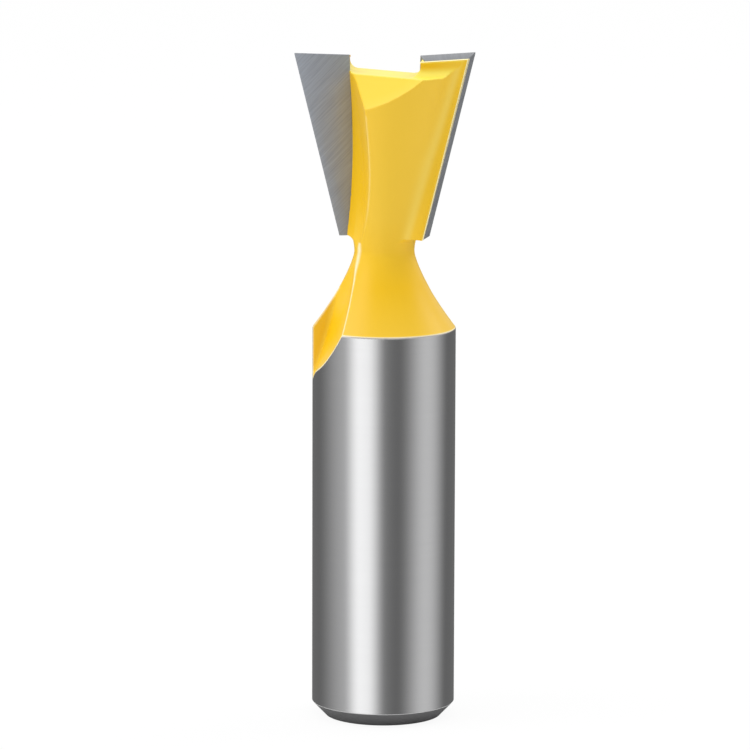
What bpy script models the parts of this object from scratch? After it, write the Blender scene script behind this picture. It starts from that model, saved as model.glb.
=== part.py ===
# Two-flute dovetail cutter: one steel body with a round shank, and two carbide tips
# brazed into seats in its head. The axis is Z, the shank's end stands on z = 0.
# The body is symmetric by half a turn. Flute 1 has its tip at -X, facing -Y.

import math

import bmesh
import bpy
from mathutils import Matrix

mm = 0.001

# Shank
SHANK_DIAMETER = 12.7 * mm
SHANK_LENGTH = 35.0 * mm
SHANK_CHAMFER_WIDTH = 1.2 * mm
SHANK_CHAMFER_HEIGHT = 1.26 * mm

# Neck and the flare that joins it to the shank
NECK_DIAMETER = 5.18 * mm
NECK_LENGTH = 8.15 * mm
FLARE_LENGTH = 7.1 * mm
FLARE_CURVE = 1.42
NECK_BLEND = 0.3 * mm

# Cutting form
CUTTING_DIAMETER = 16.0 * mm
CUTTING_LENGTH = 16.25 * mm
DOVETAIL_ANGLE = math.radians(14.0)

# Carbide tips
RAKE_OFFSET = 0.8 * mm
TIP_WIDTH = 4.94 * mm
TIP_INNER_SLOPE = 0.038
TIP_THICKNESS = 2.3 * mm
SIDE_RELIEF_ANGLE = math.radians(23.5)
END_RELIEF_ANGLE = math.radians(6.8)
DISH_ANGLE = math.radians(2.6)
CORNER_LAND_HEIGHT = 0.6 * mm

# Braze layer behind each tip, and the slit round the tip and on either side of the layer
BRAZE_THICKNESS = 0.1 * mm
BRAZE_CLEARANCE = 0.02 * mm

# Steel of the head
HEAD_TAPER_ANGLE = math.radians(13.3)
WING_THICKNESS = 0.36 * mm
WING_FILLET = 0.9 * mm
UNDERSIDE_FILLET = 0.45 * mm
FLOOR_DEPTH = 1.83 * mm
FLOOR_FILLET = 0.95 * mm
SEAT_SHOULDER = 0.5 * mm
FLANK_SKEW_ANGLE = math.radians(15.5)
HEEL_FACET_DEPTH = 0.15 * mm
HEEL_FACET_SLOPE_X = 0.603
HEEL_FACET_SLOPE_Y = 0.546

# Gullets: a flat in the rake plane and a wall hollowed along the axis.
# Where the wall meets the rake plane it leaves this width of the rake face bare.
RAKE_FACE_WIDTH = 5.2 * mm
WALL_AT_RAKE_RADIUS = 65.0 * mm
WALL_AT_RAKE_DROP = 7.9 * mm
HEEL_HOLLOW = 0.78 * mm
WALL_AT_HEEL_RADIUS = 30.5 * mm
WALL_AT_HEEL_DROP = 11.9 * mm
WALL_TURN = 2.3 * mm
GULLET_START_DROP = 30.4 * mm

# Facets
SEGMENTS = 96
FLARE_RINGS = 12
HEAD_RINGS = 12
FILLET_RINGS = 4
GULLET_RINGS = 26
SEAT_RINGS = 9
TURN_STEPS = 7
REACH = 12.0 * mm
CUTTER_OVERLAP = 0.3 * mm
BLANK_SPARE = 2.0 * mm
SHARP_ANGLE = math.radians(30.0)

shank_radius = SHANK_DIAMETER / 2
neck_radius = NECK_DIAMETER / 2
underside = SHANK_LENGTH + NECK_LENGTH
head_top = underside + CUTTING_LENGTH
floor_level = head_top - FLOOR_DEPTH
flare_top = SHANK_LENGTH + FLARE_LENGTH
tip_back = RAKE_OFFSET + TIP_THICKNESS
edge_reach = math.sqrt((CUTTING_DIAMETER / 2) ** 2 - RAKE_OFFSET ** 2)
wall_apex = edge_reach - RAKE_FACE_WIDTH
braze_space = BRAZE_THICKNESS + 2 * BRAZE_CLEARANCE
seat_back = tip_back + braze_space
wing_face = seat_back + WING_THICKNESS
blank_top = head_top + BLANK_SPARE
half_turn = Matrix.Rotation(math.pi, 4, "Z")


def smooth_max(a, b, blend):
    """The larger of two lengths, rounded where they cross."""
    step = max(blend - abs(a - b), 0.0) / blend
    return max(a, b) + step * step * blend / 4


def turned_radius(z):
    """Radius of the round body from the shank's shoulder up through the head."""
    if z <= SHANK_LENGTH:
        return shank_radius
    drop = max(flare_top - z, 0.0) / FLARE_LENGTH
    flare = neck_radius + (shank_radius - neck_radius) * drop ** FLARE_CURVE
    cone = neck_radius + math.tan(HEAD_TAPER_ANGLE) * (z - flare_top)
    return smooth_max(flare, cone, NECK_BLEND)


def edge_at(z):
    """Distance of the side cutting edge from the plane x = 0."""
    return edge_reach - math.tan(DOVETAIL_ANGLE) * (head_top - z)


def back_edge_at(z):
    """The same at the tip's back, behind its side relief."""
    return edge_at(z) - math.tan(SIDE_RELIEF_ANGLE) * TIP_THICKNESS


def end_face(x, depth):
    """Height of the ground end of tip and wing, depth behind the rake plane."""
    dish = math.tan(DISH_ANGLE) * (edge_reach - x)
    return head_top - dish - math.tan(END_RELIEF_ANGLE) * depth


def tip_inner_at(z):
    """Distance of the tip's straight inner end from x = 0: it tucks behind the wall."""
    return edge_reach - TIP_WIDTH - TIP_INNER_SLOPE * (head_top - z)


def wall_at_rake(z):
    """Distance of the gullet's wall from x = 0 where it meets the rake plane."""
    height = z - (head_top - WALL_AT_RAKE_DROP)
    return wall_apex + height ** 2 / (2 * WALL_AT_RAKE_RADIUS)


def wall_at_heel(z):
    """The same at the heel, where the wall is hollowed deeper."""
    height = z - (head_top - WALL_AT_HEEL_DROP)
    wall = wall_apex - HEEL_HOLLOW + height ** 2 / (2 * WALL_AT_HEEL_RADIUS)
    return -smooth_max(-wall, -wall_apex, HEEL_HOLLOW) if height > 0 else wall


def head_radius(angle, z):
    """Radius of the head's blank: round, with a filleted wing behind each tip."""
    body = turned_radius(z)
    turn = -angle % math.pi
    if turn >= math.pi / 2:
        return body
    side_slope = math.tan(SIDE_RELIEF_ANGLE)
    across = math.cos(turn) + side_slope * math.sin(turn)
    side = (back_edge_at(z) + side_slope * tip_back) / across
    corner = back_edge_at(z) - side_slope * (wing_face - tip_back)
    lean = max(wing_face - body + WING_FILLET, 0.0) / corner
    across = math.sin(turn) - lean * math.cos(turn)
    if across <= 0:
        return smooth_max(body, side, WING_FILLET)
    face = (wing_face - lean * corner) / across
    return smooth_max(body, min(side, face), WING_FILLET)


def levels(bottom, top, count):
    return [bottom + (top - bottom) * i / count for i in range(count + 1)]


def new_object(name, mesh, collection):
    obj = bpy.data.objects.new(name, mesh)
    collection.objects.link(obj)
    return obj


def loft(name, rings, collection, transform=None):
    """Skin a list of closed rings of equal length, with a flat face at each end."""
    bm = bmesh.new()
    loops = [[bm.verts.new(point) for point in ring] for ring in rings]
    count = len(loops[0])
    for lower, upper in zip(loops, loops[1:]):
        for i in range(count):
            j = (i + 1) % count
            bm.faces.new((lower[i], lower[j], upper[j], upper[i]))
    bm.faces.new(list(reversed(loops[0])))
    bm.faces.new(loops[-1])
    if transform:
        bm.transform(transform)
    bmesh.ops.recalc_face_normals(bm, faces=bm.faces)
    mesh = bpy.data.meshes.new(name)
    bm.to_mesh(mesh)
    bm.free()
    return new_object(name, mesh, collection)


def cutter(name, rings, collection, transform=None):
    obj = loft(name, rings, collection, transform)
    obj.hide_render = True
    obj.display_type = "WIRE"
    return obj


def round_ring(radius, z):
    steps = [2 * math.pi * i / SEGMENTS for i in range(SEGMENTS)]
    return [(radius * math.cos(a), radius * math.sin(a), z) for a in steps]


def head_ring(z, radius_limit=None):
    ring = []
    for i in range(SEGMENTS):
        angle = 2 * math.pi * i / SEGMENTS
        radius = head_radius(angle, z)
        if radius_limit is not None:
            radius = min(radius, turned_radius(z) + radius_limit)
        ring.append((radius * math.cos(angle), radius * math.sin(angle), z))
    return ring


def body_blank(collection):
    """Sections along the axis: round in shank and neck, winged in the head."""
    rings = [
        round_ring(shank_radius - SHANK_CHAMFER_WIDTH, 0.0),
        round_ring(shank_radius, SHANK_CHAMFER_HEIGHT),
        round_ring(shank_radius, SHANK_LENGTH),
    ]
    fillet_start = underside - UNDERSIDE_FILLET
    for z in levels(SHANK_LENGTH, fillet_start, FLARE_RINGS)[1:]:
        rings.append(round_ring(turned_radius(z), z))
    for i in range(1, FILLET_RINGS + 1):
        turn = math.pi / 2 * i / FILLET_RINGS
        z = fillet_start + UNDERSIDE_FILLET * math.sin(turn)
        rings.append(head_ring(z, UNDERSIDE_FILLET * (1 - math.cos(turn))))
    for z in levels(underside, blank_top, HEAD_RINGS):
        rings.append(head_ring(z))
    return loft("body", rings, collection)


def gullet_ring(z):
    """Section of one gullet: rake plane, soft inner corner, wall and open side."""
    at_rake = -wall_at_rake(z)
    at_heel = -wall_at_heel(z)
    ring = [(-REACH, RAKE_OFFSET, z)]
    for i in range(TURN_STEPS + 1):
        turn = i / TURN_STEPS
        x = at_rake + (at_heel - at_rake) * math.sin(math.pi / 2 * turn)
        ring.append((x, RAKE_OFFSET - WALL_TURN * turn, z))
    ring.append((at_heel, -REACH, z))
    ring.append((-REACH, -REACH, z))
    return ring


def gullet_rings():
    bottom = head_top - GULLET_START_DROP
    return [gullet_ring(z) for z in levels(bottom, blank_top + CUTTER_OVERLAP, GULLET_RINGS)]


def seat_rings():
    """The seat runs from the rake plane back to the wing, and is open below."""
    front = RAKE_OFFSET - BRAZE_CLEARANCE
    rings = []
    for z in (underside - UNDERSIDE_FILLET - CUTTER_OVERLAP, blank_top + CUTTER_OVERLAP):
        inner = -(tip_inner_at(z) - BRAZE_CLEARANCE)
        rings.append([(-REACH, seat_back, z), (inner, seat_back, z), (inner, front, z), (-REACH, front, z)])
    return rings


def prism_above(plan, height_at):
    """Two rings of a prism over a plan, its lower end at height_at(x, y)."""
    lower = [(x, y, height_at(x, y)) for x, y in plan]
    upper = [(x, y, blank_top + REACH) for x, y in plan]
    return [lower, upper]


def facet_height(x, y):
    return head_top - HEEL_FACET_DEPTH + HEEL_FACET_SLOPE_X * x + HEEL_FACET_SLOPE_Y * y


def wing_end_height(x, y):
    return end_face(x, -y - RAKE_OFFSET)


def floor_plan():
    """The sunken floor: all of the end but the two blocks of tip and wing.

    Its flanks run askew, so the tip's inner end is bare at the rake plane.
    """
    front = RAKE_OFFSET - CUTTER_OVERLAP
    flank_back = tip_inner_at(head_top) - BRAZE_CLEARANCE - SEAT_SHOULDER
    flank_front = flank_back + math.tan(FLANK_SKEW_ANGLE) * (wing_face - front)
    half = [
        (REACH, -wing_face),
        (flank_back, -wing_face),
        (flank_front, -front),
        (REACH, -front),
        (REACH, REACH),
        (-REACH, REACH),
    ]
    return half + [(-x, -y) for x, y in half]


def facet_plan():
    edge = RAKE_OFFSET - BRAZE_CLEARANCE
    return [(-REACH, edge), (-REACH, -REACH), (REACH, -REACH), (REACH, edge)]


def end_plan():
    return [(0.0, 0.0), (0.0, -REACH), (REACH, -REACH), (REACH, 0.0)]


def tip_rings():
    """Tip 1 as rings of four points: rake face inner and outer, back outer and inner."""
    corners = ((False, 0.0), (True, 0.0), (True, TIP_THICKNESS), (False, TIP_THICKNESS))
    rings = []
    for step in range(SEAT_RINGS + 2):
        ring = []
        for outer, depth in corners:
            inset = math.tan(SIDE_RELIEF_ANGLE) * depth
            reach = edge_reach - inset if outer else tip_inner_at(head_top)
            top = end_face(reach, depth)
            land = top - CORNER_LAND_HEIGHT
            z = min(underside + (land - underside) * step / SEAT_RINGS, land)
            x = edge_at(z) - inset if outer else tip_inner_at(z)
            ring.append((-x, RAKE_OFFSET + depth, z if step <= SEAT_RINGS else top))
        rings.append(ring)
    return rings


def braze_rings():
    """Braze of seat 1: a film between the tip's back and the wing."""
    near = tip_back + BRAZE_CLEARANCE
    far = near + BRAZE_THICKNESS
    rings = []
    for z in levels(underside, head_top, SEAT_RINGS):
        inner = tip_inner_at(z)
        outer = back_edge_at(z)
        share = (z - underside) / CUTTING_LENGTH
        ring = []
        for x, y in ((inner, near), (outer, near), (outer, far), (inner, far)):
            top = end_face(x, y - RAKE_OFFSET)
            ring.append((-x, y, underside + (top - underside) * share))
        rings.append(ring)
    return rings


def subtract(target, tool):
    modifier = target.modifiers.new(tool.name, "BOOLEAN")
    modifier.operation = "DIFFERENCE"
    modifier.object = tool


def round_lower_end(tool):
    """Round the cutter's lower edges, so that the walls it leaves get a fillet."""
    bm = bmesh.new()
    bm.from_mesh(tool.data)
    low = [edge for edge in bm.edges if max(vert.co.z for vert in edge.verts) < head_top]
    bmesh.ops.bevel(bm, geom=low, offset=FLOOR_FILLET, segments=FILLET_RINGS, profile=0.5, affect="EDGES")
    bm.to_mesh(tool.data)
    bm.free()


def finish(obj, material):
    obj.data.materials.clear()
    obj.data.materials.append(material)
    obj.data.shade_smooth()
    obj.data.set_sharp_from_angle(angle=SHARP_ANGLE)


def make_material(name, color, roughness, metallic):
    material = bpy.data.materials.new(name)
    material.use_nodes = True
    shader = material.node_tree.nodes["Principled BSDF"]
    shader.inputs["Base Color"].default_value = (*color, 1.0)
    shader.inputs["Roughness"].default_value = roughness
    shader.inputs["Metallic"].default_value = metallic
    return material


def make_collection(name):
    collection = bpy.data.collections.new(name)
    bpy.context.scene.collection.children.link(collection)
    return collection


def build():
    for obj in list(bpy.data.objects):
        bpy.data.objects.remove(obj, do_unlink=True)
    parts = make_collection("dovetail_cutter")
    tools = make_collection("cutters")

    body = body_blank(parts)
    floor = cutter("floor_cut", prism_above(floor_plan(), lambda x, y: floor_level), tools)
    round_lower_end(floor)
    subtract(body, floor)
    for flute, transform in ((1, None), (2, half_turn)):
        end = prism_above(end_plan(), wing_end_height)
        subtract(body, cutter(f"wing_end_cut_{flute}", end, tools, transform))
        facet = prism_above(facet_plan(), facet_height)
        subtract(body, cutter(f"heel_facet_cut_{flute}", facet, tools, transform))
        subtract(body, cutter(f"gullet_cut_{flute}", gullet_rings(), tools, transform))
        subtract(body, cutter(f"seat_cut_{flute}", seat_rings(), tools, transform))
    finish(body, make_material("yellow_enamel_on_steel", (0.80, 0.48, 0.03), 0.25, 0.0))

    carbide = make_material("carbide", (0.28, 0.28, 0.28), 0.4, 0.9)
    braze = make_material("braze", (0.85, 0.68, 0.35), 0.35, 1.0)
    for flute, transform in ((1, None), (2, half_turn)):
        finish(loft(f"cutting_tip_{flute}", tip_rings(), parts, transform), carbide)
        finish(loft(f"braze_film_{flute}", braze_rings(), parts, transform), braze)


build()
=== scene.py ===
import math

import bmesh
import bpy
import numpy as np
from mathutils import Matrix, Vector
from mathutils.bvhtree import BVHTree
from mathutils.kdtree import KDTree


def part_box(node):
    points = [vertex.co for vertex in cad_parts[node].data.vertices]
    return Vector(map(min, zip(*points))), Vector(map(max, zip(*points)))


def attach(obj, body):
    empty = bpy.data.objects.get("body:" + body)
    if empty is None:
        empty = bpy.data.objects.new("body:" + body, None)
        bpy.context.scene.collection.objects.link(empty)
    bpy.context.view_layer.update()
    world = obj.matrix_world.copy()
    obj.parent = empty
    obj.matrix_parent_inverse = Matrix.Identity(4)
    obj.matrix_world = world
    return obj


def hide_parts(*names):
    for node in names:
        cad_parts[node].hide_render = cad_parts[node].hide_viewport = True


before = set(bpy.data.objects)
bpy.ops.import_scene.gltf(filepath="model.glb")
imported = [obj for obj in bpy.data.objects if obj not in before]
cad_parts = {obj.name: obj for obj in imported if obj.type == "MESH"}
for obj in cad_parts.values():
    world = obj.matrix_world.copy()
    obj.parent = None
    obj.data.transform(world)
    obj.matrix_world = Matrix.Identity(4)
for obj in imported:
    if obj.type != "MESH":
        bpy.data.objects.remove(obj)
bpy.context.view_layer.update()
mm = 0.001
halfTurn = Matrix.Rotation(math.pi, 4, "Z")
print("frame loaded:", sorted(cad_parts))


# Where the light cards and the camera stand, as turns about the tool's axis.
# The camera's own turn is -10 degrees, and a card's azimuth is counted from it to the right.
cameraSetup = {
    "turn": -10.0,
    "distance": 453.96 * mm,
    "height": 107.61 * mm,
    "pitch": 9.618,
    "roll": 0.19,
    "yaw": 0.0993,
    "lens": 249.1,
    "sensor": 36.0,
}

studioCards = {
    "ambient": 0.211,
    "key": {"azimuth": -32.5, "halfWidth": 6.0, "softness": 30.8, "strength": 1.04},
    "wash": {"azimuth": -53.0, "halfWidth": 1.0, "softness": 78.0, "strength": 0.50},
    "fill": {"azimuth": 74.0, "halfWidth": 1.5, "softness": 50.0, "strength": 0.68},
    "upper": {"base": 0.80, "from": -0.02, "full": 0.14},
    "upperLeft": {"azimuth": -88.0, "halfWidth": 12.0, "softness": 34.0, "strength": 0.62},
    "upperBack": {"azimuth": 180.0, "halfWidth": 50.0, "softness": 45.0, "strength": 0.30},
    "sky": {"strength": 1.5, "from": 0.78, "full": 0.96},
}


def makeCamera(setup):
    turn = math.radians(setup["turn"])
    pitch = math.radians(setup["pitch"])
    toCamera = Vector((math.sin(turn), -math.cos(turn), 0.0))
    right = Vector((math.cos(turn), math.sin(turn), 0.0))
    forward = -toCamera * math.cos(pitch) - Vector((0, 0, 1)) * math.sin(pitch)
    up = right.cross(forward)
    basis = Matrix((right, up, -forward)).transposed()
    roll = Matrix.Rotation(math.radians(setup["roll"]), 3, "Z")
    yaw = Matrix.Rotation(math.radians(setup["yaw"]), 3, "Y")
    camera = bpy.data.objects.new("photoCamera", bpy.data.cameras.new("photoCamera"))
    camera.data.lens = setup["lens"]
    camera.data.sensor_width = setup["sensor"]
    camera.data.clip_start = 0.01
    camera.data.clip_end = 20.0
    place = toCamera * setup["distance"] + Vector((0, 0, setup["height"]))
    camera.matrix_world = Matrix.Translation(place) @ (basis @ roll @ yaw).to_4x4()
    bpy.context.scene.collection.objects.link(camera)
    bpy.context.scene.camera = camera


def link(tree, fromSocket, toSocket):
    tree.links.new(fromSocket, toSocket)


# A socket takes another node's output, or a plain value.
def feed(tree, socket, value):
    if isinstance(value, bpy.types.NodeSocket):
        tree.links.new(value, socket)
    else:
        socket.default_value = value


def mathNode(tree, operation, *values):
    node = tree.nodes.new("ShaderNodeMath")
    node.operation = operation
    for i, value in enumerate(values):
        feed(tree, node.inputs[i], value)
    return node.outputs[0]


def mapRange(tree, value, fromMin, fromMax, toMin=0.0, toMax=1.0, smooth=True):
    node = tree.nodes.new("ShaderNodeMapRange")
    node.interpolation_type = "SMOOTHSTEP" if smooth else "LINEAR"
    for name, number in (
        ("Value", value), ("From Min", fromMin), ("From Max", fromMax), ("To Min", toMin), ("To Max", toMax),
    ):
        feed(tree, node.inputs[name], number)
    return node.outputs["Result"]


def mixColor(tree, factor, a, b, blend="MIX"):
    node = tree.nodes.new("ShaderNodeMix")
    node.data_type = "RGBA"
    node.blend_type = blend
    feed(tree, node.inputs["Factor"], factor)
    feed(tree, node.inputs["A"], a)
    feed(tree, node.inputs["B"], b)
    return node.outputs["Result"]


def mixValue(tree, factor, a, b):
    node = tree.nodes.new("ShaderNodeMix")
    node.data_type = "FLOAT"
    feed(tree, node.inputs["Factor"], factor)
    feed(tree, node.inputs["A"], a)
    feed(tree, node.inputs["B"], b)
    return node.outputs["Result"]


def dotWith(tree, vector, direction):
    node = tree.nodes.new("ShaderNodeVectorMath")
    node.operation = "DOT_PRODUCT"
    link(tree, vector, node.inputs[0])
    node.inputs[1].default_value = direction
    return node.outputs["Value"]


def newGroup(name, inputs, outputs):
    group = bpy.data.node_groups.new(name, "ShaderNodeTree")
    for label, kind, value in inputs:
        socket = group.interface.new_socket(label, in_out="INPUT", socket_type=kind)
        if value is not None:
            socket.default_value = value
    for label, kind in outputs:
        group.interface.new_socket(label, in_out="OUTPUT", socket_type=kind)
    return group, group.nodes.new("NodeGroupInput"), group.nodes.new("NodeGroupOutput")


# One soft-edged light card, as a strength over the azimuth.
def makeCardGroup():
    number = "NodeSocketFloat"
    group, source, sink = newGroup("softCard", [
        ("Azimuth", number, 0.0), ("Centre", number, 0.0), ("Half Width", number, 0.2),
        ("Softness", number, 0.3), ("Strength", number, 1.0),
    ], [("Light", number)])
    offset = mathNode(group, "SUBTRACT", source.outputs["Azimuth"], source.outputs["Centre"])
    turned = mathNode(group, "WRAP", offset, math.pi, -math.pi)
    away = mathNode(group, "ABSOLUTE", turned)
    outer = mathNode(group, "ADD", source.outputs["Half Width"], source.outputs["Softness"])
    light = mapRange(group, away, outer, source.outputs["Half Width"], 0.0, source.outputs["Strength"])
    link(group, light, sink.inputs["Light"])
    return group


def makeWorld(cards, turn):
    world = bpy.data.worlds.new("studio")
    bpy.context.scene.world = world
    world.use_nodes = True
    tree = world.node_tree
    tree.nodes.clear()
    direction = tree.nodes.new("ShaderNodeTexCoord").outputs["Generated"]
    angle = math.radians(turn)
    ahead = dotWith(tree, direction, (math.sin(angle), -math.cos(angle), 0.0))
    aside = dotWith(tree, direction, (math.cos(angle), math.sin(angle), 0.0))
    azimuth = mathNode(tree, "ARCTAN2", aside, ahead)
    group = makeCardGroup()

    def addCards(light, names):
        for name in names:
            card = cards[name]
            node = tree.nodes.new("ShaderNodeGroup")
            node.node_tree = group
            link(tree, azimuth, node.inputs["Azimuth"])
            node.inputs["Centre"].default_value = math.radians(card["azimuth"])
            node.inputs["Half Width"].default_value = math.radians(card["halfWidth"])
            node.inputs["Softness"].default_value = math.radians(card["softness"])
            node.inputs["Strength"].default_value = card["strength"]
            light = mathNode(tree, "ADD", light, node.outputs["Light"])
        return light

    rise = dotWith(tree, direction, (0.0, 0.0, 1.0))
    upper, sky = cards["upper"], cards["sky"]
    light = addCards(cards["ambient"], ("key", "wash", "fill"))
    high = addCards(upper["base"], ("upperLeft", "upperBack"))
    light = mixValue(tree, mapRange(tree, rise, upper["from"], upper["full"]), light, high)
    light = mixValue(tree, mapRange(tree, rise, sky["from"], sky["full"]), light, sky["strength"])
    path = tree.nodes.new("ShaderNodeLightPath")
    seen = mathNode(tree, "MAXIMUM", path.outputs["Is Camera Ray"], path.outputs["Is Transmission Ray"])
    light = mixValue(tree, seen, light, 1.0)
    background = tree.nodes.new("ShaderNodeBackground")
    link(tree, light, background.inputs["Strength"])
    output = tree.nodes.new("ShaderNodeOutputWorld")
    link(tree, background.outputs[0], output.inputs["Surface"])


lamps = {
    "leftHigh": {"place": (-0.52, -0.04, 0.62), "size": 0.60, "power": 1.8},
    "rightHigh": {"place": (0.45, 0.15, 0.50), "size": 0.45, "power": 1.1},
}


def makeLamps(lamps):
    target = Vector((0.0, 0.0, 0.04))
    for name, lamp in lamps.items():
        data = bpy.data.lights.new(name, "AREA")
        data.shape = "DISK"
        data.size = lamp["size"]
        data.energy = lamp["power"]
        obj = bpy.data.objects.new(name, data)
        obj.location = lamp["place"]
        obj.rotation_euler = (target - obj.location).to_track_quat("-Z", "Y").to_euler()
        bpy.context.scene.collection.objects.link(obj)


floorLook = {
    "halfSize": 3.0,
    "color": (0.93, 0.93, 0.93, 1.0),
    "roughness": 0.9,
    "glow": 0.92,  # how much of the floor is plain white to the camera, the rest is lit
}


def makeFloor(look):
    material = bpy.data.materials.new("paleFloor")
    material.use_nodes = True
    tree = material.node_tree
    shader = tree.nodes["Principled BSDF"]
    shader.inputs["Base Color"].default_value = look["color"]
    shader.inputs["Roughness"].default_value = look["roughness"]
    glow = tree.nodes.new("ShaderNodeEmission")
    path = tree.nodes.new("ShaderNodeLightPath")
    share = mathNode(tree, "MULTIPLY", path.outputs["Is Camera Ray"], look["glow"])
    mixed = tree.nodes.new("ShaderNodeMixShader")
    link(tree, share, mixed.inputs["Fac"])
    link(tree, shader.outputs[0], mixed.inputs[1])
    link(tree, glow.outputs[0], mixed.inputs[2])
    link(tree, mixed.outputs[0], tree.nodes["Material Output"].inputs["Surface"])
    size = look["halfSize"]
    mesh = bpy.data.meshes.new("floor")
    corners = [(-size, -size, 0), (size, -size, 0), (size, size, 0), (-size, size, 0)]
    mesh.from_pydata(corners, [], [(0, 1, 2, 3)])
    mesh.materials.append(material)
    floor = bpy.data.objects.new("floor", mesh)
    floor.visible_glossy = False
    bpy.context.scene.collection.objects.link(floor)


makeCamera(cameraSetup)
makeWorld(studioCards, cameraSetup["turn"])
makeLamps(lamps)
makeFloor(floorLook)
bpy.context.scene.view_settings.view_transform = "Standard"
print("camera, studio and floor made")


# The steel body's real sizes. Its overall sizes come from the frame.
bodyLow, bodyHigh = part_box("body")
tipLow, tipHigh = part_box("cutting_tip_2")
bodyForm = {
    "shankRadius": bodyHigh.y,
    "shankLength": 35.0 * mm,
    "chamferWidth": 1.2 * mm,
    "chamferHeight": 1.26 * mm,
    "neckRadius": 2.59 * mm,
    "flareLength": 7.1 * mm,
    "flareCurve": 1.42,
    "neckBlend": 0.3 * mm,
    "underside": tipLow.z,
    "top": tipHigh.z,
    "edgeReach": 7.96 * mm,
    "dovetail": math.tan(math.radians(14.0)),
    "rakeOffset": -tipHigh.y,
    "tipThickness": tipHigh.y - tipLow.y,
    "sideRelief": math.tan(math.radians(23.5)),
    "endRelief": math.tan(math.radians(6.8)),
    "dish": math.tan(math.radians(2.6)),
    "tipWidth": 4.94 * mm,
    "tipInnerSlope": 0.038,
    "brazeSpace": 0.14 * mm,
    "brazeClearance": 0.02 * mm,
    "headTaper": math.tan(math.radians(13.3)),
    "wingThickness": 0.36 * mm,
    "wingFillet": 0.9 * mm,
    "undersideFillet": 0.45 * mm,
    "floorDepth": 1.83 * mm,
    "floorFillet": 0.95 * mm,
    "seatShoulder": 0.5 * mm,
    "flankSkew": math.tan(math.radians(15.5)),
    "facetDepth": 0.15 * mm,
    "facetSlopes": (0.603, 0.546),
    "wallAtRake": {"reach": 2.76 * mm, "radius": 65.0 * mm, "drop": 7.9 * mm},
    "wallAtHeel": {"reach": 1.98 * mm, "radius": 30.5 * mm, "drop": 11.9 * mm},
    "wallTurn": 2.3 * mm,
    "gulletDrop": 30.4 * mm,
    "splitHeight": 28.5 * mm,  # where the head's fine mesh takes over from the turned shank
}
bodyMesh = {
    "segments": 288,
    "neckRings": 48,
    "filletRings": 8,
    "headRings": 56,
    "gulletRings": 110,
    "turnSteps": 14,
    "rimRings": 24,
    "voxel": 0.12 * mm,
    "edgeAngle": 18.0,
    "snapReach": 0.22 * mm,
    "ridgeWidth": 0.16 * mm,
    "hollowWidth": 0.45 * mm,
    "ridgePasses": 2,
    "ridgePull": 0.35,
    "hollowPasses": 14,
    "hollowPull": 0.6,
    "floorSteps": 12,
    "sharpAngle": 40.0,
    "blankSpare": 2 * mm,
    "reach": 12.0 * mm,
    "overlap": 0.3 * mm,
}
tipBack = bodyForm["rakeOffset"] + bodyForm["tipThickness"]
seatBack = tipBack + bodyForm["brazeSpace"]
wingFace = seatBack + bodyForm["wingThickness"]
blankTop = bodyForm["top"] + bodyMesh["blankSpare"]


def smoothMax(a, b, blend):
    step = max(blend - abs(a - b), 0.0) / blend
    return max(a, b) + step * step * blend / 4


def turnedRadius(z):
    form = bodyForm
    if z <= form["shankLength"]:
        return form["shankRadius"]
    flareTop = form["shankLength"] + form["flareLength"]
    drop = max(flareTop - z, 0.0) / form["flareLength"]
    flare = form["neckRadius"] + (form["shankRadius"] - form["neckRadius"]) * drop ** form["flareCurve"]
    cone = form["neckRadius"] + form["headTaper"] * (z - flareTop)
    return smoothMax(flare, cone, form["neckBlend"])


def backEdgeAt(z):
    edge = bodyForm["edgeReach"] - bodyForm["dovetail"] * (bodyForm["top"] - z)
    return edge - bodyForm["sideRelief"] * bodyForm["tipThickness"]


def tipInnerAt(z):
    return bodyForm["edgeReach"] - bodyForm["tipWidth"] - bodyForm["tipInnerSlope"] * (bodyForm["top"] - z)


def endFace(x, depth):
    form = bodyForm
    return form["top"] - form["dish"] * (form["edgeReach"] - x) - form["endRelief"] * depth


def wallAt(z, wall):
    height = z - (bodyForm["top"] - wall["drop"])
    return wall["reach"] + height ** 2 / (2 * wall["radius"])


def heelWallAt(z):
    form = bodyForm
    wall = wallAt(z, form["wallAtHeel"])
    if z > form["top"] - form["wallAtHeel"]["drop"]:
        limit = form["wallAtRake"]["reach"]
        wall = -smoothMax(-wall, -limit, limit - form["wallAtHeel"]["reach"])
    return wall


# The round body's radius at this angle, with a filleted wing behind each tip.
def headRadius(angle, z):
    body = turnedRadius(z)
    turn = -angle % math.pi
    if turn >= math.pi / 2:
        return body
    slope = bodyForm["sideRelief"]
    side = (backEdgeAt(z) + slope * tipBack) / (math.cos(turn) + slope * math.sin(turn))
    corner = backEdgeAt(z) - slope * (wingFace - tipBack)
    lean = max(wingFace - body + bodyForm["wingFillet"], 0.0) / corner
    across = math.sin(turn) - lean * math.cos(turn)
    if across > 0:
        side = min(side, (wingFace - lean * corner) / across)
    return smoothMax(body, side, bodyForm["wingFillet"])


def meshObject(name, bm):
    mesh = bpy.data.meshes.new(name)
    bm.to_mesh(mesh)
    bm.free()
    obj = bpy.data.objects.new(name, mesh)
    bpy.context.scene.collection.objects.link(obj)
    return obj


def loft(name, rings, transform=None):
    bm = bmesh.new()
    loops = [[bm.verts.new(point) for point in ring] for ring in rings]
    count = len(loops[0])
    for lower, upper in zip(loops, loops[1:]):
        for i in range(count):
            j = (i + 1) % count
            bm.faces.new((lower[i], lower[j], upper[j], upper[i]))
    bm.faces.new(list(reversed(loops[0])))
    bm.faces.new(loops[-1])
    if transform:
        bm.transform(transform)
    bmesh.ops.recalc_face_normals(bm, faces=bm.faces)
    return meshObject(name, bm)


def levels(low, high, count):
    return [low + (high - low) * i / count for i in range(count + 1)]


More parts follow.
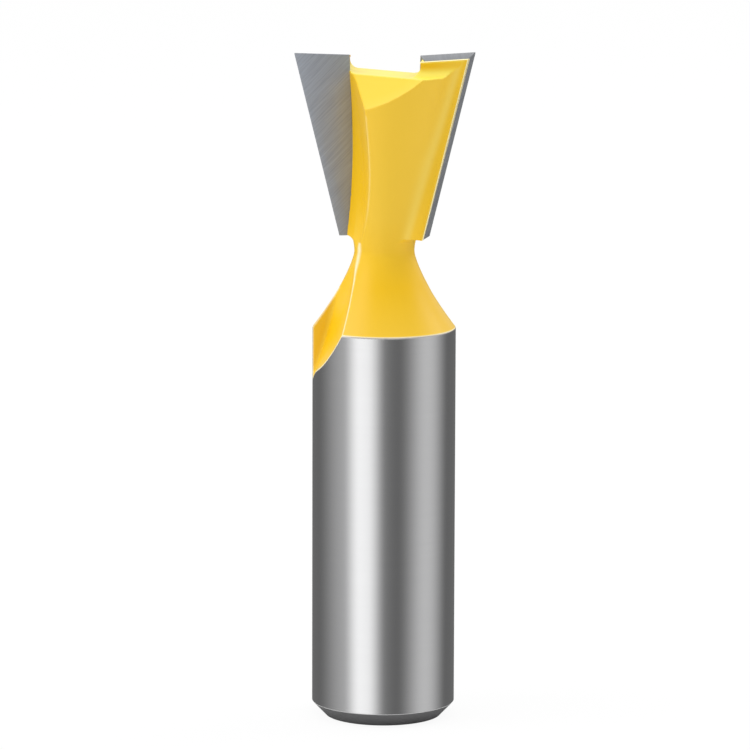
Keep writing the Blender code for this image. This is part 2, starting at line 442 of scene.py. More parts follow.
def blankRings():
    form = bodyForm
    angles = [2 * math.pi * i / bodyMesh["segments"] for i in range(bodyMesh["segments"])]

    def ring(z, radiusAt):
        return [(radiusAt(a) * math.cos(a), radiusAt(a) * math.sin(a), z) for a in angles]

    def plain(z):
        return ring(z, lambda a: turnedRadius(z))

    filletStart = form["underside"] - form["undersideFillet"]
    rings = [plain(form["splitHeight"] - mm)]
    rings += [plain(z) for z in levels(form["shankLength"], filletStart, bodyMesh["neckRings"])]
    for i in range(1, bodyMesh["filletRings"] + 1):
        turn = math.pi / 2 * i / bodyMesh["filletRings"]
        z = filletStart + form["undersideFillet"] * math.sin(turn)
        limit = turnedRadius(z) + form["undersideFillet"] * (1 - math.cos(turn))
        rings.append(ring(z, lambda a: min(headRadius(a, z), limit)))
    for z in levels(form["underside"], blankTop, bodyMesh["headRings"]):
        rings.append(ring(z, lambda a: headRadius(a, z)))
    return rings


def gulletRings():
    form, reach, steps = bodyForm, bodyMesh["reach"], bodyMesh["turnSteps"]
    rings = []
    foot = form["top"] - form["gulletDrop"]
    for z in levels(foot, blankTop + bodyMesh["overlap"], bodyMesh["gulletRings"]):
        atRake, atHeel = -wallAt(z, form["wallAtRake"]), -heelWallAt(z)
        ring = [(-reach, form["rakeOffset"], z)]
        for i in range(steps + 1):
            x = atRake + (atHeel - atRake) * math.sin(math.pi / 2 * i / steps)
            ring.append((x, form["rakeOffset"] - form["wallTurn"] * i / steps, z))
        rings.append(ring + [(atHeel, -reach, z), (-reach, -reach, z)])
    return rings


def seatRings():
    form, reach, lap = bodyForm, bodyMesh["reach"], bodyMesh["overlap"]
    front = form["rakeOffset"] - form["brazeClearance"]
    rings = []
    for z in (form["underside"] - form["undersideFillet"] - lap, blankTop + lap):
        inner = -(tipInnerAt(z) - form["brazeClearance"])
        rings.append([(-reach, seatBack, z), (inner, seatBack, z), (inner, front, z), (-reach, front, z)])
    return rings


def prismAbove(plan, heightAt):
    high = blankTop + bodyMesh["reach"]
    return [[(x, y, heightAt(x, y)) for x, y in plan], [(x, y, high) for x, y in plan]]


def easeCorners(bm, edges, offset, steps):
    bmesh.ops.bevel(bm, geom=edges, offset=offset, segments=steps, profile=0.5, affect="EDGES")


# The sunken floor lies over both halves, all but the two blocks of tip and wing.
def floorTool():
    form, reach = bodyForm, bodyMesh["reach"]
    front = form["rakeOffset"] - bodyMesh["overlap"]
    flankBack = tipInnerAt(form["top"]) - form["brazeClearance"] - form["seatShoulder"]
    flankFront = flankBack + form["flankSkew"] * (wingFace - front)
    half = [
        (reach, -wingFace), (flankBack, -wingFace), (flankFront, -front),
        (reach, -front), (reach, reach), (-reach, reach),
    ]
    plan = half + [(-x, -y) for x, y in half]
    tool = loft("floor", prismAbove(plan, lambda x, y: form["top"] - form["floorDepth"]))
    bm = bmesh.new()
    bm.from_mesh(tool.data)
    low = [edge for edge in bm.edges if max(vert.co.z for vert in edge.verts) < form["top"]]
    easeCorners(bm, low, form["floorFillet"], bodyMesh["floorSteps"])
    bm.to_mesh(tool.data)
    bm.free()
    return tool


# The wings' ground ends and the heel facets.
def topCuts():
    form, reach = bodyForm, bodyMesh["reach"]
    facetEdge = form["rakeOffset"] - form["brazeClearance"]
    facetPlan = [(-reach, facetEdge), (-reach, -reach), (reach, -reach), (reach, facetEdge)]
    endPlan = [(0.0, 0.0), (0.0, -reach), (reach, -reach), (reach, 0.0)]
    slopeX, slopeY = form["facetSlopes"]

    def facetHeight(x, y):
        return form["top"] - form["facetDepth"] + slopeX * x + slopeY * y

    return [
        ("wingEnd", prismAbove(endPlan, lambda x, y: endFace(x, -y - form["rakeOffset"]))),
        ("facet", prismAbove(facetPlan, facetHeight)),
    ]


def applyAll(obj):
    graph = bpy.context.evaluated_depsgraph_get()
    mesh = bpy.data.meshes.new_from_object(obj.evaluated_get(graph))
    obj.modifiers.clear()
    obj.data = mesh


# Cuts the floor, then the wing ends, facets, gullets and seats, each twice by half a turn.
def cutBody(body):
    tools = [floorTool()]
    for flute, transform in enumerate((None, halfTurn)):
        for name, rings in topCuts() + [("gullet", gulletRings()), ("seat", seatRings())]:
            tools.append(loft(f"{name}{flute}", rings, transform))
    for tool in tools:
        cut = body.modifiers.new(tool.name, "BOOLEAN")
        cut.operation = "DIFFERENCE"
        cut.object = tool
    applyAll(body)
    for tool in tools:
        bpy.data.objects.remove(tool)


# Points along the exact body's sharp edges: the ridges, and the hollow corners.
def edgeSamples(mesh):
    bm = bmesh.new()
    bm.from_mesh(mesh)
    spacing = bodyMesh["voxel"] / 2
    ridges, hollows = [], []
    for edge in bm.edges:
        if len(edge.link_faces) != 2 or edge.calc_face_angle(0.0) < math.radians(bodyMesh["edgeAngle"]):
            continue
        start, end = edge.verts[0].co, edge.verts[1].co
        steps = max(1, int((end - start).length / spacing))
        points = ridges if edge.is_convex else hollows
        points += [start.lerp(end, i / steps) for i in range(steps + 1)]
    bm.free()
    return ridges, hollows


def pointTree(points):
    tree = KDTree(len(points))
    for i, point in enumerate(points):
        tree.insert(point, i)
    tree.balance()
    return tree


def smoothStep(value):
    return value * value * (3 - 2 * value)


# One close to a point of the tree, falling softly to nothing at this distance.
def nearness(tree, places, width):
    near = np.array([min(tree.find(place)[2] / width, 1.0) for place in places])
    return 1.0 - smoothStep(near)


# Lays an even mesh on the exact body, draws it out to the ridges, and eases hollows and ridges.
def easeEdges(body, exact):
    surface = BVHTree.FromPolygons([v.co for v in exact.vertices], [p.vertices for p in exact.polygons])
    ridges, hollows = edgeSamples(exact)
    mesh = body.data
    places = np.array([surface.find_nearest(vertex.co)[0] for vertex in mesh.vertices])
    own = pointTree(places)
    best = {}
    for point in ridges:
        _, i, distance = own.find(point)
        if distance < min(best.get(i, (bodyMesh["snapReach"],))[0], bodyMesh["snapReach"]):
            best[i] = (distance, point)
    for i, (_, point) in best.items():
        places[i] = point
    count = len(places)
    edges = np.empty(len(mesh.edges) * 2, np.int64)
    mesh.edges.foreach_get("vertices", edges)
    first, second = edges.reshape(-1, 2).T
    links = np.bincount(first, minlength=count) + np.bincount(second, minlength=count)
    atRidge = nearness(pointTree(ridges), places, bodyMesh["ridgeWidth"])
    inHollow = nearness(pointTree(hollows), places, bodyMesh["hollowWidth"]) * (1.0 - atRidge)
    for passes, softness, pull in (
        (bodyMesh["hollowPasses"], inHollow, bodyMesh["hollowPull"]),
        (bodyMesh["ridgePasses"], atRidge, bodyMesh["ridgePull"]),
    ):
        for _ in range(passes):
            total = np.zeros_like(places)
            np.add.at(total, first, places[second])
            np.add.at(total, second, places[first])
            places += (total / links[:, None] - places) * (softness * pull)[:, None]
    mesh.vertices.foreach_set("co", places.ravel().astype(np.float32))
    mesh.update()
    return ridges


# Ends the mesh in a flat face at this height.
def cutFlat(obj, height):
    bm = bmesh.new()
    bm.from_mesh(obj.data)
    everything = bm.verts[:] + bm.edges[:] + bm.faces[:]
    cut = bmesh.ops.bisect_plane(
        bm, geom=everything, dist=1e-7, plane_co=(0, 0, height), plane_no=(0, 0, 1), clear_inner=True,
    )
    rim = [item for item in cut["geom_cut"] if isinstance(item, bmesh.types.BMEdge)]
    bmesh.ops.contextual_create(bm, geom=rim)
    bmesh.ops.recalc_face_normals(bm, faces=bm.faces)
    bm.to_mesh(obj.data)
    bm.free()


# Where light is painted into the coat: painted shade in recesses, on the wings and round the neck, painted
# light on faces that look up, and painted highlights on ridges and wing fillets.
paintedCoatLight = {
    "recessDepth": 1.4 * mm,  # cut this deep below the turned blank, the painted shade is at its deepest yellow
    "wingHeight": 1.9 * mm,
    "neck": {"centre": 39.0 * mm, "halfHeight": 6.0 * mm, "tone": 0.95},
    "facet": {"from": 0.15, "full": 0.776, "share": 0.42},
    "floor": {"from": 0.1, "full": 0.6, "height": bodyForm["top"] - bodyForm["floorDepth"] - 0.03 * mm},
    # painted highlight and painted light along the wing's fillet
    "fillet": {"rise": 0.42 * mm, "reach": 0.42 * mm, "paintedHighlight": 0.07, "high": 0.25},
    "ridge": {"width": 0.13 * mm, "neckWidth": 0.40 * mm, "from": 38.5 * mm, "to": 41.5 * mm,
              "head": 0.32, "fadeFrom": 43.8 * mm, "fadeTo": 46.5 * mm, "wingRise": 0.25 * mm},
    "glint": {"leastSide": 0.6 * mm, "top": 54.4 * mm, "steps": 24},
    "skin": 0.02,  # a share of the recess depth: less than this still counts as the uncut blank
}
# The ridge's course over the neck, where the cut runs out too softly to leave an edge; a painted highlight
# follows it.
neckGlint = [
    Vector((-2.33, -1.12, 43.2)) * mm, Vector((-2.45, -1.09, 42.2)) * mm, Vector((-2.54, -1.02, 41.55)) * mm,
    Vector((-2.82, -1.31, 40.35)) * mm, Vector((-3.02, -1.65, 39.6)) * mm,
]


# The ridges that get a painted highlight: along the flare, over the neck and up the head's heel wall.
def glintTree(ridges):
    glint = paintedCoatLight["glint"]

    def shows(point):
        low = point.z < neckGlint[-1].z
        return abs(point.y) > glint["leastSide"] and (low or neckGlint[0].z < point.z < glint["top"])

    points = [point for point in ridges if shows(point)]
    for start, end in zip(neckGlint, neckGlint[1:]):
        for i in range(glint["steps"]):
            point = start.lerp(end, i / glint["steps"])
            points += [point, halfTurn @ point]
    return pointTree(points)


def ramp(value, low, high):
    return min(max((value - low) / (high - low), 0.0), 1.0)


# A painted highlight on the flutes' ridges, most of all where they cross the neck, and none on the wings.
def ridgeHighlight(z, blank, distance):
    ridge = paintedCoatLight["ridge"]
    if blank - turnedRadius(z) > ridge["wingRise"]:
        return 0.0
    filletStart = bodyForm["underside"] - bodyForm["undersideFillet"]
    width = ridge["width"] + (ridge["neckWidth"] - ridge["width"]) * ramp(z, ridge["from"], ridge["to"])
    strength = 1.0
    if z > filletStart:
        width, strength = ridge["width"], ridge["head"] * ramp(z, ridge["fadeFrom"], ridge["fadeTo"])
    return max(1.0 - distance / width, 0.0) * strength


# Three values on each vertex: painted shade as a deeper yellow,
# painted light on faces that look up, and a painted highlight on ridges and wing fillets.
def paintCoatLight(mesh, ridgeTree):
    tones = paintedCoatLight
    paintedShade = mesh.attributes.new("paintedShadeTone", "FLOAT", "POINT")
    upLight = mesh.attributes.new("paintedLightTone", "FLOAT", "POINT")
    ridge = mesh.attributes.new("paintedHighlightTone", "FLOAT", "POINT")
    neck, facet, floor, fillet = (tones[name] for name in ("neck", "facet", "floor", "fillet"))
    for i, vertex in enumerate(mesh.vertices):
        x, y, z = vertex.co
        blank = headRadius(math.atan2(y, x), z) if z > bodyForm["underside"] else turnedRadius(z)
        # Painted shade: a deeper yellow in recesses, on the wings and round the neck.
        recess = (blank - math.hypot(x, y)) / tones["recessDepth"]
        wing = (blank - turnedRadius(z)) / tones["wingHeight"]
        atNeck = (1 - abs(z - neck["centre"]) / neck["halfHeight"]) * neck["tone"]
        paintedShade.data[i].value = min(max(recess, wing, atNeck, 0.0), 1.0)
        # Painted light on faces that look up, fullest on the sunken floor.
        lift = ramp(vertex.normal.z, facet["from"], facet["full"]) * facet["share"]
        if z > floor["height"]:
            lift = ramp(vertex.normal.z, floor["from"], floor["full"])
        # A painted highlight along the ridges.
        paintedHighlight = ridgeHighlight(z, blank, ridgeTree.find(vertex.co)[2])
        # Along the wing's fillet, a painted highlight and painted light.
        if z > bodyForm["underside"] and recess < tones["skin"]:
            near = max(1 - abs(blank - turnedRadius(z) - fillet["rise"]) / fillet["reach"], 0.0)
            near = smoothStep(near)
            paintedHighlight, lift = max(paintedHighlight, near * fillet["paintedHighlight"]), max(lift, near * fillet["high"])
        upLight.data[i].value = lift if z > bodyForm["underside"] else 0.0
        ridge.data[i].value = paintedHighlight


def makeHead():
    exact = loft("headExact", blankRings())
    cutBody(exact)
    head = bpy.data.objects.new("steelHead", exact.data.copy())
    bpy.context.scene.collection.objects.link(head)
    voxel = head.modifiers.new("even", "REMESH")
    voxel.mode = "VOXEL"
    voxel.voxel_size = bodyMesh["voxel"]
    applyAll(head)
    ridges = easeEdges(head, exact.data)
    cutFlat(head, bodyForm["splitHeight"])
    paintCoatLight(head.data, glintTree(ridges))
    bpy.data.objects.remove(exact)
    head.data.shade_smooth()
    head.data.set_sharp_from_angle(angle=math.radians(bodyMesh["sharpAngle"]))
    return head


wingRim = {"depth": 0.16 * mm, "proud": 0.022 * mm, "cornerTurns": 4, "coatedFrom": 0.8}


# The wing's ground side and end, as one thin bar that turns at the outer corner.
def rimRings():
    form, depth, proud = bodyForm, wingRim["depth"], wingRim["proud"]
    near = seatBack
    far = wingFace - proud

    def side(z, y):
        back = y - form["rakeOffset"]
        return form["edgeReach"] - form["dovetail"] * (form["top"] - z) - form["sideRelief"] * back + proud

    def end(x, y):
        return endFace(x, y - form["rakeOffset"]) + proud

    def corner(y, inset):
        x = side(form["top"], y) - inset
        for _ in range(wingRim["cornerTurns"]):
            z = end(x, y) - inset
            x = side(z, y) - inset
        return x, z

    rings = []
    stop = corner(far, depth)[1]
    for z in levels(form["underside"], stop, bodyMesh["rimRings"])[:-1]:
        rings.append([(-side(z, near), near, z), (-side(z, far), far, z),
                      (depth - side(z, far), far, z), (depth - side(z, near), near, z)])
    turn = [(corner(y, inset), y) for y, inset in ((near, 0.0), (far, 0.0), (far, depth), (near, depth))]
    rings.append([(-place[0], y, place[1]) for place, y in turn])
    inner = tipInnerAt(form["top"]) - form["brazeClearance"] - form["seatShoulder"] + proud
    for x in levels(corner(far, depth)[0], inner, bodyMesh["rimRings"])[1:]:
        rings.append([(-x, near, end(x, near)), (-x, far, end(x, far)),
                      (-x, far, end(x, far) - depth), (-x, near, end(x, near) - depth)])
    return rings


def makeRims(material, coat):
    rims = []
    for flute, transform in enumerate((None, halfTurn)):
        rim = loft(f"wingRim{flute + 1}", rimRings(), transform)
        rim.data.materials.append(material)
        rim.data.materials.append(coat)
        for polygon in rim.data.polygons:
            if abs(polygon.normal.y) > wingRim["coatedFrom"]:
                polygon.material_index = 1
        rims.append(rim)
    return rims


tipMesh = {
    "landHeight": 0.12 * mm,
    "edgeEase": 0.02 * mm,
    "edgeSteps": 2,
    "easedFrom": 10.0,
    "sharpAngle": 35.0,
    "rakeFrom": 0.9,  # a face that looks this squarely along y is a rake face or a back
}


# The tips with eased edges and a corner land that is only just there, as in the photo.
def makeTip(flute, transform, material):
    form = bodyForm
    corners = ((False, 0.0), (True, 0.0), (True, form["tipThickness"]), (False, form["tipThickness"]))
    bottom, cornerTop = [], []
    top = []
    for outer, back in corners:
        y = form["rakeOffset"] + back
        inset = form["sideRelief"] * back

        def across(z):
            edge = form["edgeReach"] - form["dovetail"] * (form["top"] - z) - inset
            return edge if outer else tipInnerAt(z)

        end = endFace(across(form["top"]), back)
        land = end - tipMesh["landHeight"]
        bottom.append((-across(form["underside"]), y, form["underside"]))
        cornerTop.append((-across(land), y, land))
        top.append((-across(land), y, end))
    tip = loft(f"carbideTip{flute}", [bottom, cornerTop, top], transform)
    bm = bmesh.new()
    bm.from_mesh(tip.data)
    sharp = [edge for edge in bm.edges if edge.calc_face_angle(0.0) > math.radians(tipMesh["easedFrom"])]
    easeCorners(bm, sharp, tipMesh["edgeEase"], tipMesh["edgeSteps"])
    bm.to_mesh(tip.data)
    bm.free()
    # Marks the relief faces, which get painted shade.
    relief = tip.data.attributes.new("relief", "FLOAT", "FACE")
    for polygon in tip.data.polygons:
        squarely = abs(polygon.normal.y) > tipMesh["rakeFrom"]
        relief.data[polygon.index].value = 0.0 if squarely else 1.0
    tip.data.materials.append(material)
    tip.data.shade_smooth()
    tip.data.set_sharp_from_angle(angle=math.radians(tipMesh["sharpAngle"]))
    return tip


shankMesh = {
    "segments": 288,
    "weld": 0.002 * mm,
    "edgeEase": 0.02 * mm,
    "edgeSteps": 2,
    "easedFrom": 20.0,
    "sharpAngle": 40.0,
}


# The turned shank: chamfer, cylinder and two flat ends, from named sizes.
def makeShankTree():
    tree = bpy.data.node_groups.new("turnedShank", "GeometryNodeTree")
    kinds = [(name, "NodeSocketFloat") for name in ("Radius", "Length", "Chamfer Width", "Chamfer Height")]
    kinds += [("Segments", "NodeSocketInt"), ("Material", "NodeSocketMaterial")]
    for name, kind in kinds:
        tree.interface.new_socket(name, in_out="INPUT", socket_type=kind)
    tree.interface.new_socket("Geometry", in_out="OUTPUT", socket_type="NodeSocketGeometry")
    sizes = tree.nodes.new("NodeGroupInput").outputs
    footRadius = mathNode(tree, "SUBTRACT", sizes["Radius"], sizes["Chamfer Width"])
    wallLength = mathNode(tree, "SUBTRACT", sizes["Length"], sizes["Chamfer Height"])
    join = tree.nodes.new("GeometryNodeJoinGeometry")

    def place(mesh, height):
        move = tree.nodes.new("GeometryNodeTransform")
        lift = tree.nodes.new("ShaderNodeCombineXYZ")
        feed(tree, lift.inputs["Z"], height)
        link(tree, lift.outputs[0], move.inputs["Translation"])
        link(tree, mesh, move.inputs["Geometry"])
        link(tree, move.outputs[0], join.inputs[0])

    cone = tree.nodes.new("GeometryNodeMeshCone")
    cone.fill_type = "NONE"
    link(tree, sizes["Segments"], cone.inputs["Vertices"])
    link(tree, sizes["Radius"], cone.inputs["Radius Top"])
    link(tree, footRadius, cone.inputs["Radius Bottom"])
    link(tree, sizes["Chamfer Height"], cone.inputs["Depth"])
    place(cone.outputs["Mesh"], 0.0)
    wall = tree.nodes.new("GeometryNodeMeshCylinder")
    wall.fill_type = "NONE"
    link(tree, sizes["Segments"], wall.inputs["Vertices"])
    link(tree, sizes["Radius"], wall.inputs["Radius"])
    link(tree, wallLength, wall.inputs["Depth"])
    half = mathNode(tree, "MULTIPLY", wallLength, 0.5)
    place(wall.outputs["Mesh"], mathNode(tree, "ADD", half, sizes["Chamfer Height"]))
    for radius, height in ((footRadius, 0.0), (sizes["Radius"], sizes["Length"])):
        disc = tree.nodes.new("GeometryNodeMeshCircle")
        disc.fill_type = "NGON"
        link(tree, sizes["Segments"], disc.inputs["Vertices"])
        link(tree, radius, disc.inputs["Radius"])
        place(disc.outputs["Mesh"], height)
    weld = tree.nodes.new("GeometryNodeMergeByDistance")
    weld.inputs["Distance"].default_value = shankMesh["weld"]
    link(tree, join.outputs[0], weld.inputs["Geometry"])
    real = tree.nodes.new("GeometryNodeRealizeInstances")
    link(tree, weld.outputs[0], real.inputs[0])
    dress = tree.nodes.new("GeometryNodeSetMaterial")
    link(tree, real.outputs[0], dress.inputs["Geometry"])
    link(tree, sizes["Material"], dress.inputs["Material"])
    output = tree.nodes.new("NodeGroupOutput")
    link(tree, dress.outputs[0], output.inputs[0])
    return tree


def makeShank(material):
    shank = bpy.data.objects.new("steelShank", bpy.data.meshes.new("steelShank"))
    bpy.context.scene.collection.objects.link(shank)
    modifier = shank.modifiers.new("turned", "NODES")
    modifier.node_group = makeShankTree()
    values = {
        "Radius": bodyForm["shankRadius"],
        "Length": bodyForm["splitHeight"],
        "Chamfer Width": bodyForm["chamferWidth"],
        "Chamfer Height": bodyForm["chamferHeight"],
        "Segments": shankMesh["segments"],
        "Material": material,
    }
    for item in modifier.node_group.interface.items_tree:
        if item.in_out == "INPUT":
            modifier[item.identifier] = values[item.name]
    applyAll(shank)
    bm = bmesh.new()
    bm.from_mesh(shank.data)
    bmesh.ops.recalc_face_normals(bm, faces=bm.faces)
    middle = bodyForm["splitHeight"] / 2
    rims = [
        edge for edge in bm.edges
        if max(vert.co.z for vert in edge.verts) < middle
        and edge.calc_face_angle(0.0) > math.radians(shankMesh["easedFrom"])
    ]
    easeCorners(bm, rims, shankMesh["edgeEase"], shankMesh["edgeSteps"])
    bm.to_mesh(shank.data)
    bm.free()
    shank.data.shade_smooth()
    shank.data.set_sharp_from_angle(angle=math.radians(shankMesh["sharpAngle"]))
    return shank


# Fine grinding lines: a height and a shade that run along one axis of the coordinates.
def makeGrindGroup():
    number = "NodeSocketFloat"
    group, source, sink = newGroup("grindLines", [
        ("Vector", "NodeSocketVector", None), ("Turn", number, 0.0), ("Lines per mm", number, 6.0),
        ("Stretch", number, 0.02), ("Contrast", number, 0.2),
    ], [("Height", number), ("Shade", number)])
    rotate = group.nodes.new("ShaderNodeVectorRotate")
    rotate.rotation_type = "Y_AXIS"
    link(group, source.outputs["Vector"], rotate.inputs["Vector"])
    link(group, source.outputs["Turn"], rotate.inputs["Angle"])
    scale = group.nodes.new("ShaderNodeCombineXYZ")
    fine = mathNode(group, "MULTIPLY", source.outputs["Lines per mm"], 1000.0)
    along = mathNode(group, "MULTIPLY", fine, source.outputs["Stretch"])
    link(group, along, scale.inputs["X"])
    link(group, along, scale.inputs["Y"])
    link(group, fine, scale.inputs["Z"])
    stretch = group.nodes.new("ShaderNodeVectorMath")
    stretch.operation = "MULTIPLY"
    link(group, rotate.outputs[0], stretch.inputs[0])
    link(group, scale.outputs[0], stretch.inputs[1])
    noise = group.nodes.new("ShaderNodeTexNoise")
    noise.inputs["Scale"].default_value = 1.0
    noise.inputs["Detail"].default_value = 3.0
    noise.inputs["Roughness"].default_value = 0.65
    link(group, stretch.outputs[0], noise.inputs["Vector"])
    link(group, noise.outputs["Fac"], sink.inputs["Height"])
    centred = mathNode(group, "SUBTRACT", noise.outputs["Fac"], 0.5)
    shade = mathNode(group, "MULTIPLY", centred, source.outputs["Contrast"])
    link(group, mathNode(group, "ADD", shade, 1.0), sink.inputs["Shade"])
    return group


paintEdge = {"width": 0.04 * mm, "highlightWidth": 0.12 * mm}


# Where the body is bare: the shank's turned skin, and the foot below the gullets; and a painted highlight
# along the paint's edge.
def makeBareGroup():
    number = "NodeSocketFloat"
    group, source, sink = newGroup("bareSteel", [
        ("Vector", "NodeSocketVector", None), ("Edge", number, paintEdge["width"]),
        ("Highlight Width", number, paintEdge["highlightWidth"]),
    ], [("Shank", number), ("Paint Edge Highlight", number)])
    form = bodyForm
    split = group.nodes.new("ShaderNodeSeparateXYZ")
    link(group, source.outputs["Vector"], split.inputs[0])
    x, y, z = split.outputs
    edge = source.outputs["Edge"]
    across = mathNode(group, "POWER", mathNode(group, "ADD", mathNode(group, "MULTIPLY", x, x),
                                               mathNode(group, "MULTIPLY", y, y)), 0.5)
    inside = mathNode(group, "SUBTRACT", form["shankRadius"], across)
    above = mathNode(group, "SUBTRACT", z, form["shankLength"])
    depth = mathNode(group, "MAXIMUM", inside, above)
    coated = mathNode(group, "GREATER_THAN", z, form["splitHeight"])
    painted = mathNode(group, "MULTIPLY", mapRange(group, depth, 0.0, edge), coated)
    link(group, mathNode(group, "SUBTRACT", 1.0, painted), sink.inputs["Shank"])
    # A painted highlight: a pale band along the paint's edge.
    rim = mapRange(group, depth, source.outputs["Highlight Width"], edge)
    link(group, mathNode(group, "MULTIPLY", rim, painted), sink.inputs["Paint Edge Highlight"])
    return group


def useGroup(tree, group, **values):
    node = tree.nodes.new("ShaderNodeGroup")
    node.node_tree = group
    for name, value in values.items():
        feed(tree, node.inputs[name.replace("_", " ")], value)
    return node


def newMaterial(name):
    material = bpy.data.materials.new(name)
    material.use_nodes = True
    return material, material.node_tree, material.node_tree.nodes["Principled BSDF"]


enamelledSteel = {
    "enamel": (0.885, 0.565, 0.039, 1.0),
    "enamelShaded": (0.89, 0.53, 0.006, 1.0),
    "enamelLit": (0.98, 0.80, 0.11, 1.0),
    "enamelHighlight": (0.98, 0.88, 0.56, 1.0),
    "steel": (0.66, 0.66, 0.665, 1.0),
    # painted shade: the chamfer looks down, and its dark grey stands in for the shade there
    "chamferShadedSteel": (0.13, 0.13, 0.132, 1.0),
    "enamelSheen": 0.26,
    "enamelRoughness": 0.33,
    "steelRoughness": 0.17,
    "chamferRoughness": 0.85,
    "chamferDullness": 1.0,
    "grindHeight": 0.0003 * mm,
    "grindLines": {"Lines_per_mm": 9.0, "Stretch": 0.03, "Contrast": 0.07},
    "chamferEdge": 0.03 * mm,  # the chamfer's dark skin of painted shade, dull and rough, goes this far past its upper edge
    "enamelHeight": 0.004 * mm,
    "enamelGrain": 900.0,
}


def attributeNode(tree, name):
    node = tree.nodes.new("ShaderNodeAttribute")
    node.attribute_name = name
    return node.outputs["Fac"]


def makeBodyMaterial(look):
    material, tree, shader = newMaterial("enamelledSteel")
    point = tree.nodes.new("ShaderNodeTexCoord").outputs["Object"]
    bare = useGroup(tree, makeBareGroup(), Vector=point).outputs
    grind = useGroup(tree, grindGroup, Vector=point, **look["grindLines"]).outputs
    split = tree.nodes.new("ShaderNodeSeparateXYZ")
    link(tree, point, split.inputs[0])
    chamferTop = bodyForm["chamferHeight"] + look["chamferEdge"]
    onChamfer = mathNode(tree, "LESS_THAN", split.outputs["Z"], chamferTop)
    # The chamfer's dark grey is painted shade.
    steel = mixColor(tree, onChamfer, look["steel"], look["chamferShadedSteel"])
    steel = mixColor(tree, 1.0, steel, grind["Shade"], "MULTIPLY")
    # Painted shade deepens the yellow.
    enamel = mixColor(tree, attributeNode(tree, "paintedShadeTone"), look["enamel"], look["enamelShaded"])
    # Painted light on faces that look up.
    enamel = mixColor(tree, attributeNode(tree, "paintedLightTone"), enamel, look["enamelLit"])
    # Painted highlights on ridges, wing fillets and the paint's edge.
    paintedHighlight = mathNode(tree, "MAXIMUM", attributeNode(tree, "paintedHighlightTone"), bare["Paint Edge Highlight"])
    enamel = mixColor(tree, paintedHighlight, enamel, look["enamelHighlight"])
    color = mixColor(tree, bare["Shank"], enamel, steel)
    link(tree, color, shader.inputs["Base Color"])
    steelRough = mixValue(tree, onChamfer, look["steelRoughness"], look["chamferRoughness"])
    roughness = mixValue(tree, bare["Shank"], look["enamelRoughness"], steelRough)
    link(tree, roughness, shader.inputs["Roughness"])
    metal = mathNode(tree, "MULTIPLY", onChamfer, look["chamferDullness"])
    link(tree, mathNode(tree, "SUBTRACT", bare["Shank"], metal), shader.inputs["Metallic"])
    shader.inputs["Specular IOR Level"].default_value = look["enamelSheen"]
    peel = tree.nodes.new("ShaderNodeTexNoise")
    peel.inputs["Scale"].default_value = look["enamelGrain"]
    peel.inputs["Detail"].default_value = 1.0
    link(tree, point, peel.inputs["Vector"])
    peelHeight = mathNode(tree, "MULTIPLY", peel.outputs["Fac"], look["enamelHeight"])
    grindHeight = mathNode(tree, "MULTIPLY", grind["Height"], look["grindHeight"])
    bump = tree.nodes.new("ShaderNodeBump")
    bump.inputs["Distance"].default_value = 1.0
    bump.inputs["Strength"].default_value = 1.0
    link(tree, mixValue(tree, bare["Shank"], peelHeight, grindHeight), bump.inputs["Height"])
    link(tree, bump.outputs[0], shader.inputs["Normal"])
    return material


carbideLook = {
    "dark": (0.272, 0.293, 0.333, 1.0),
    "light": (0.390, 0.420, 0.475, 1.0),
    "metallic": 0.3,
    "roughness": 0.45,
    "turn": 45.0,
    "reliefShade": (0.70, 0.68, 0.64, 1.0),  # painted shade: the ground relief faces are darker than the rake face
    "fineLines": {"Lines_per_mm": 9.0, "Stretch": 0.03, "Contrast": 1.0},
    "broadLines": {"Lines_per_mm": 3.0, "Stretch": 0.05, "Contrast": 1.0},
    "fineShare": 0.7,
    "broadShare": 0.3,
    "darkAt": 0.32,
    "lightAt": 0.68,
    "roughnessSpread": 0.1,
    "grindHeight": 0.004 * mm,
}


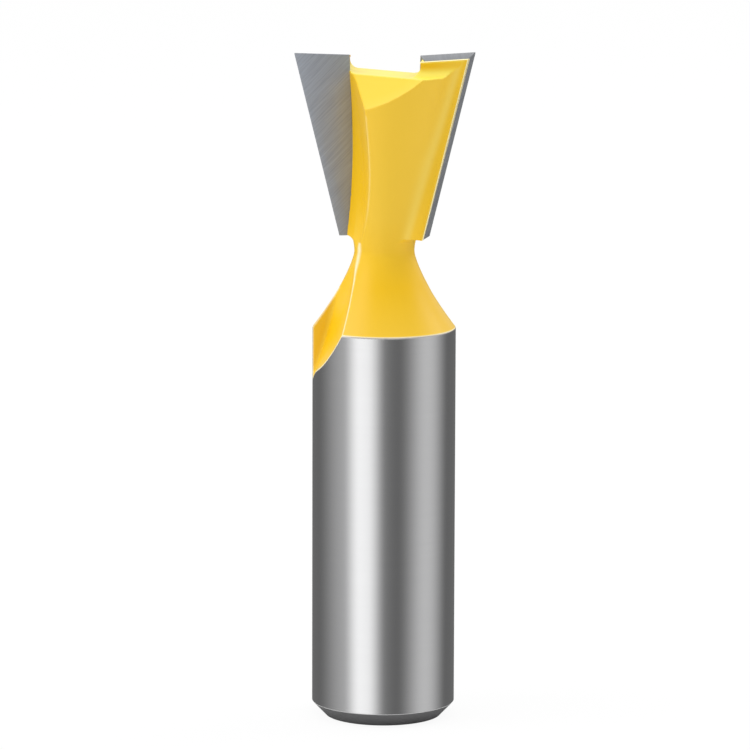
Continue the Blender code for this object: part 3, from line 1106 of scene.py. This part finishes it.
def makeCarbideMaterial(look):
    material, tree, shader = newMaterial("groundCarbide")
    point = tree.nodes.new("ShaderNodeTexCoord").outputs["Object"]
    turn = math.radians(look["turn"])
    grind = useGroup(tree, grindGroup, Vector=point, Turn=turn, **look["fineLines"]).outputs
    broad = useGroup(tree, grindGroup, Vector=point, Turn=turn, **look["broadLines"]).outputs
    level = mathNode(tree, "ADD", mathNode(tree, "MULTIPLY", grind["Height"], look["fineShare"]),
                     mathNode(tree, "MULTIPLY", broad["Height"], look["broadShare"]))
    shade = mapRange(tree, level, look["darkAt"], look["lightAt"], smooth=False)
    color = mixColor(tree, shade, look["dark"], look["light"])
    # Painted shade on the relief faces.
    shadedRelief = mixColor(tree, 1.0, color, look["reliefShade"], "MULTIPLY")
    link(tree, mixColor(tree, attributeNode(tree, "relief"), color, shadedRelief), shader.inputs["Base Color"])
    shader.inputs["Metallic"].default_value = look["metallic"]
    spread = look["roughnessSpread"]
    varied = mathNode(tree, "MULTIPLY", grind["Height"], spread)
    link(tree, mathNode(tree, "ADD", look["roughness"] - spread / 2, varied), shader.inputs["Roughness"])
    bump = tree.nodes.new("ShaderNodeBump")
    bump.inputs["Distance"].default_value = 1.0
    link(tree, mathNode(tree, "MULTIPLY", grind["Height"], look["grindHeight"]), bump.inputs["Height"])
    link(tree, bump.outputs[0], shader.inputs["Normal"])
    return material


rimGrind = {"Lines_per_mm": 10.0, "Stretch": 0.2, "Contrast": 0.3}
brazeLook = {"color": (0.95, 0.84, 0.52, 1.0), "roughness": 0.35, "metallic": 0.5}
# The ground rim's pale cream is a painted highlight on the bare ground steel.
rimHighlightLook = {"color": (1.0, 0.90, 0.47, 1.0), "roughness": 0.50, "metallic": 0.0}


# Braze, and the wings' ground rims, whose pale cream is a painted highlight.
def makeRimMaterial(name, look):
    material, tree, shader = newMaterial(name)
    point = tree.nodes.new("ShaderNodeTexCoord").outputs["Object"]
    grind = useGroup(tree, grindGroup, Vector=point, **rimGrind).outputs
    color = mixColor(tree, 1.0, look["color"], grind["Shade"], "MULTIPLY")
    link(tree, color, shader.inputs["Base Color"])
    link(tree, mathNode(tree, "MULTIPLY", grind["Shade"], look["roughness"]), shader.inputs["Roughness"])
    shader.inputs["Metallic"].default_value = look["metallic"]
    return material


grindGroup = makeGrindGroup()
bodyMaterial = makeBodyMaterial(enamelledSteel)
carbideMaterial = makeCarbideMaterial(carbideLook)
brazeMaterial = makeRimMaterial("braze", brazeLook)
rimMaterial = makeRimMaterial("groundRimHighlight", rimHighlightLook)
print("materials made")

shank = makeShank(bodyMaterial)
print("shank turned:", len(shank.data.polygons), "faces")
head = makeHead()
head.data.materials.clear()
head.data.materials.append(bodyMaterial)
print("head cut and eased:", len(head.data.polygons), "faces")
rims = makeRims(rimMaterial, bodyMaterial)
print("wing rims made:", len(rims))
for piece in [shank, head] + rims:
    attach(piece, "root")
    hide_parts("body")


for flute, transform in ((1, None), (2, halfTurn)):
    tip = makeTip(flute, transform, carbideMaterial)
    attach(tip, "root")
    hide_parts(f"cutting_tip_{flute}")
    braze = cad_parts[f"braze_film_{flute}"]
    braze.data.materials.clear()
    braze.data.materials.append(brazeMaterial)
print("tips made and braze dressed")
